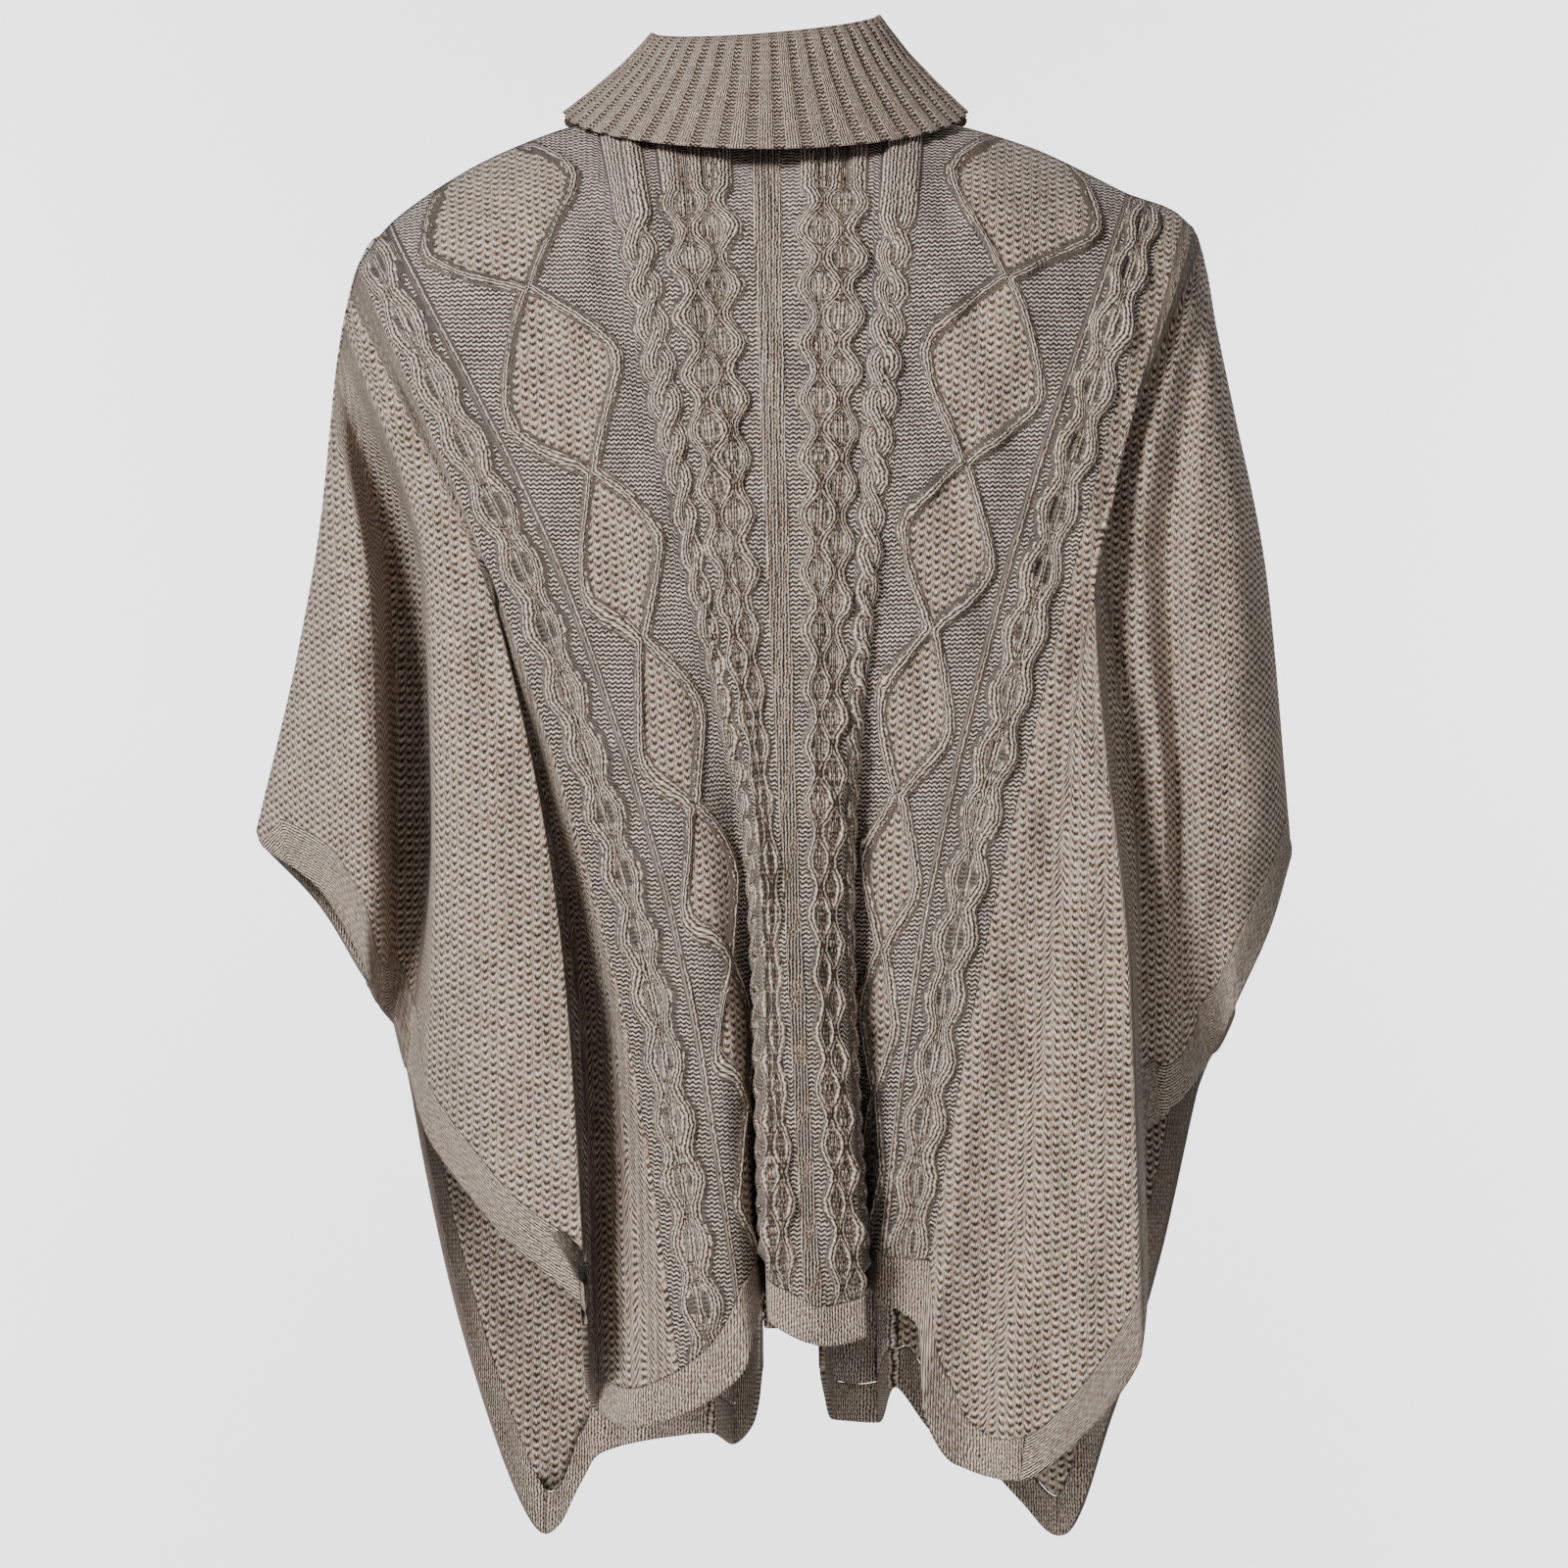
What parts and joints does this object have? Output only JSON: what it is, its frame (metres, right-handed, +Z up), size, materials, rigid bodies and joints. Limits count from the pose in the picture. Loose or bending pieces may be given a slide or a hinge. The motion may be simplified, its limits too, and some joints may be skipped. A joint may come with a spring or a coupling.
{
  "type": "knitted poncho sweater",
  "caption": "Hollow knitted poncho sweater with a cabled back, moss-stitch sides, a turned-down ribbed collar and plain bands, hung open from the shoulders.",
  "frame": {"origin": "middle of the neck opening, level with the seam at the back of the neck, where the wearer holds the garment up", "axes": "+Z up, -Y out of the wearer's back, which is the side that the picture shows, +X to the right as seen from behind"},
  "size_m": [0.5629, 0.2459, 0.8298],
  "materials": {
    "knit": "matte",
    "band": "matte",
    "rib": "matte"
  },
  "bodies": {
    "root": {"back_centre": "knit", "back_side_left": "knit", "back_side_right": "knit", "back_side_band_left": "band", "back_hem_band": "band", "back_side_band_right": "band", "front_side_left": "knit", "front_centre_left": "knit", "front_rib_band_left": "rib", "front_rib_band_right": "rib", "front_centre_right": "knit", "front_side_right": "knit", "front_side_band_left": "band", "front_hem_band_left": "band", "front_hem_band_right": "band", "front_side_band_right": "band", "collar": "rib"}
  },
  "joints": []
}
